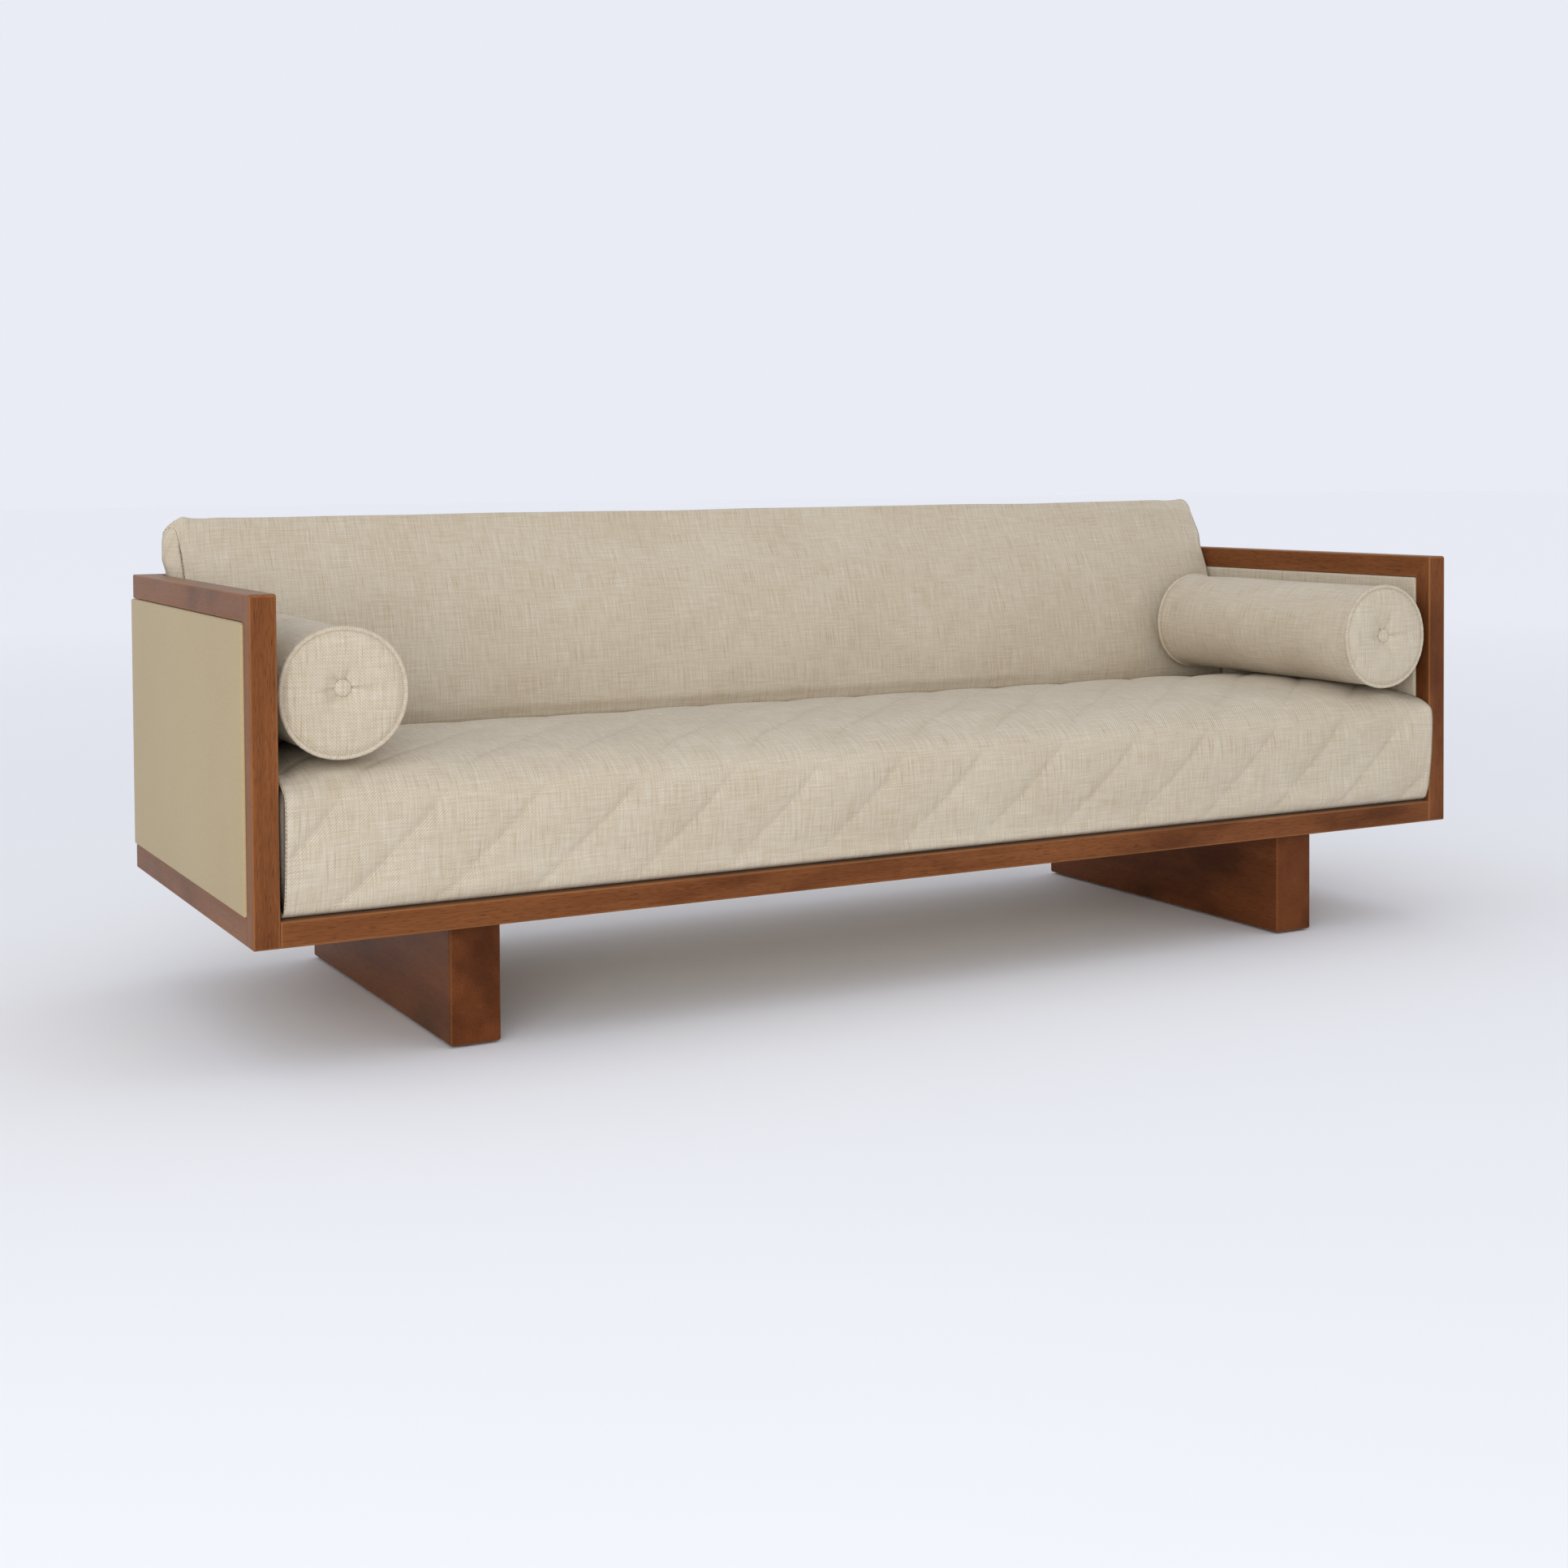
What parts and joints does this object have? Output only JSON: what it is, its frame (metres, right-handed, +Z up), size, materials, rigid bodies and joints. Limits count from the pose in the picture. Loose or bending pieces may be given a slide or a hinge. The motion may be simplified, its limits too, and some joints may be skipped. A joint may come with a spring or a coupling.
{
  "type": "daybed",
  "caption": "Low box-framed daybed: slab legs, upholstered arms and back, slatted deck, quilted seat cushion, wedge back cushion and end bolsters.",
  "frame": {"origin": "on the floor under the centre of the timber box frame", "axes": "+X to the right as seen from the front, -Y to the front, +Z up"},
  "size_m": [2.2072, 0.7552, 0.762],
  "materials": {
    "stained_timber": "satin lacquer over a mid-brown stain",
    "deck_timber": "planed, unfinished",
    "plywood": "raw plywood",
    "leatherette": "smooth khaki leatherette",
    "linen": "slubby natural linen weave",
    "filling": "foam and fibre",
    "zinc_steel": "zinc plated",
    "felt": "pressed felt",
    "zip_tape": "woven zip tape",
    "zip_metal": "antique nickel"
  },
  "bodies": {
    "frame": {"left_front_post": "stained_timber", "left_arm_top_rail": "stained_timber", "left_arm_bottom_rail": "stained_timber", "left_rear_stile": "deck_timber", "left_arm_outer_board": "plywood", "left_arm_outer_skin": "leatherette", "left_arm_inner_board": "plywood", "left_arm_inner_skin": "linen", "right_front_post": "stained_timber", "right_arm_top_rail": "stained_timber", "right_arm_bottom_rail": "stained_timber", "right_rear_stile": "deck_timber", "right_arm_outer_board": "plywood", "right_arm_outer_skin": "leatherette", "right_arm_inner_board": "plywood", "right_arm_inner_skin": "linen", "front_rail": "stained_timber", "rear_top_rail": "stained_timber", "rear_bottom_rail": "stained_timber", "rear_studs": "deck_timber", "rear_outer_board": "plywood", "rear_outer_skin": "leatherette", "rear_inner_board": "plywood", "rear_inner_skin": "linen", "front_ledger": "deck_timber", "rear_ledger": "deck_timber", "left_leg_beam": "deck_timber", "right_leg_beam": "deck_timber", "centre_beams": "deck_timber", "deck_slats": "deck_timber", "left_leg": "stained_timber", "right_leg": "stained_timber", "floor_glides": "felt", "joint_dowels": "deck_timber", "leg_bolts": "zinc_steel", "slat_screws": "zinc_steel", "corner_brackets": "zinc_steel", "bracket_screws": "zinc_steel"},
    "seat_cushion": {"seat_cover": "linen", "seat_core": "filling", "seat_zip": "zip_tape"},
    "back_cushion": {"back_cover": "linen", "back_core": "filling", "back_zip": "zip_tape"},
    "left_bolster": {"left_bolster_cover": "linen", "left_bolster_core": "filling", "left_bolster_piping": "linen", "left_bolster_buttons": "linen", "left_bolster_zip": "zip_tape"},
    "right_bolster": {"right_bolster_cover": "linen", "right_bolster_core": "filling", "right_bolster_piping": "linen", "right_bolster_buttons": "linen", "right_bolster_zip": "zip_tape"},
    "seat_slider": {"seat_zip_slider": "zip_metal"},
    "back_slider": {"back_zip_slider": "zip_metal"},
    "left_bolster_slider": {"left_bolster_zip_slider": "zip_metal"},
    "right_bolster_slider": {"right_bolster_zip_slider": "zip_metal"}
  },
  "joints": [
    {"name": "seat_lift", "type": "slide", "parent": "frame", "child": "seat_cushion", "axis": [0, 0, 1], "range_m": [0, 0.35]},
    {"name": "back_lift", "type": "slide", "parent": "seat_cushion", "child": "back_cushion", "axis": [0, 0, 1], "range_m": [0, 0.3]},
    {"name": "left_bolster_lift", "type": "slide", "parent": "seat_cushion", "child": "left_bolster", "axis": [0, 0, 1], "range_m": [0, 0.3]},
    {"name": "right_bolster_lift", "type": "slide", "parent": "seat_cushion", "child": "right_bolster", "axis": [0, 0, 1], "range_m": [0, 0.3]},
    {"name": "seat_zip_run", "type": "slide", "parent": "seat_cushion", "child": "seat_slider", "axis": [1, 0, 0], "range_m": [0, 1.98]},
    {"name": "back_zip_run", "type": "slide", "parent": "back_cushion", "child": "back_slider", "axis": [1, 0, 0], "range_m": [0, 1.97]},
    {"name": "left_bolster_zip_run", "type": "slide", "parent": "left_bolster", "child": "left_bolster_slider", "axis": [0, 1, 0], "range_m": [0, 0.4]},
    {"name": "right_bolster_zip_run", "type": "slide", "parent": "right_bolster", "child": "right_bolster_slider", "axis": [0, 1, 0], "range_m": [0, 0.4]}
  ]
}
